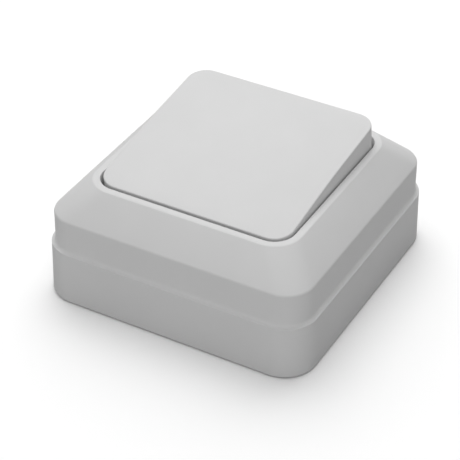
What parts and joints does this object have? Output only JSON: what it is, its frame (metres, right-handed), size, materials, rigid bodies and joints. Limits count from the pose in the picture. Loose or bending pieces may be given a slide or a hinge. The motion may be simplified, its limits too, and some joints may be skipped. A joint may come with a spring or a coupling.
{
  "type": "surface-mounted rocker light switch",
  "caption": "Square surface-mounted light switch: base box, bevelled cover with a framed window, and one wide rocker key over a snap-action contact mechanism.",
  "frame": {"origin": "centre of the wall face (the back of the base box), on the back plane", "axes": "+Z out of the wall towards the rocker, X along the rocker's pivot, -Y towards the rocker's pressed edge, +Y towards its raised edge"},
  "size_m": [0.08, 0.08, 0.0404],
  "materials": {
    "white_plastic": "satin moulded plastic",
    "grey_plastic": "moulded plastic",
    "dark_plastic": "moulded thermoset",
    "plated_steel": "zinc plated",
    "brass": "stamped",
    "silver": "silver contact"
  },
  "bodies": {
    "switch_body": {"base_box": "white_plastic", "cover_frame": "white_plastic", "cover_screw_far": "plated_steel", "cover_screw_near": "plated_steel", "fixed_contact_strip": "brass", "fixed_contact_tip": "silver", "pivot_contact_strip": "brass", "mechanism_housing": "dark_plastic", "mechanism_cap": "dark_plastic", "rivet_left": "brass", "rivet_right": "brass", "mounting_strap": "plated_steel", "strap_screw_left": "plated_steel", "strap_screw_right": "plated_steel", "line_terminal": "brass", "line_clamp_plate": "plated_steel", "line_terminal_screw": "plated_steel", "load_terminal": "brass", "load_clamp_plate": "plated_steel", "load_terminal_screw": "plated_steel"},
    "rocker": {"rocker_key": "white_plastic", "rocker_carrier": "grey_plastic", "plunger_spring": "plated_steel"},
    "plunger": {"plunger": "dark_plastic"},
    "contact": {"rocking_contact": "brass", "moving_contact_tip": "silver"}
  },
  "joints": [
    {"name": "rocker_hinge", "type": "hinge", "parent": "switch_body", "child": "rocker", "pos_m": [0, 0, 0.0334], "axis": [1, 0, 0], "range_deg": [-14.6, 0]},
    {"name": "plunger_slide", "type": "slide", "parent": "rocker", "child": "plunger", "axis": [0, -0.1271, 0.9919], "range_m": [0, 0.0008], "stiffness_N_per_m": 400, "springref_m": -0.002, "deforming": ["plunger_spring"]},
    {"name": "contact_rock", "type": "hinge", "parent": "switch_body", "child": "contact", "pos_m": [0, 0, 0.02141], "axis": [1, 0, 0], "range_deg": [0, 14.6]}
  ],
  "couplings": [
    {"joint": "contact_rock", "follows": "rocker_hinge", "ratio": -1}
  ]
}
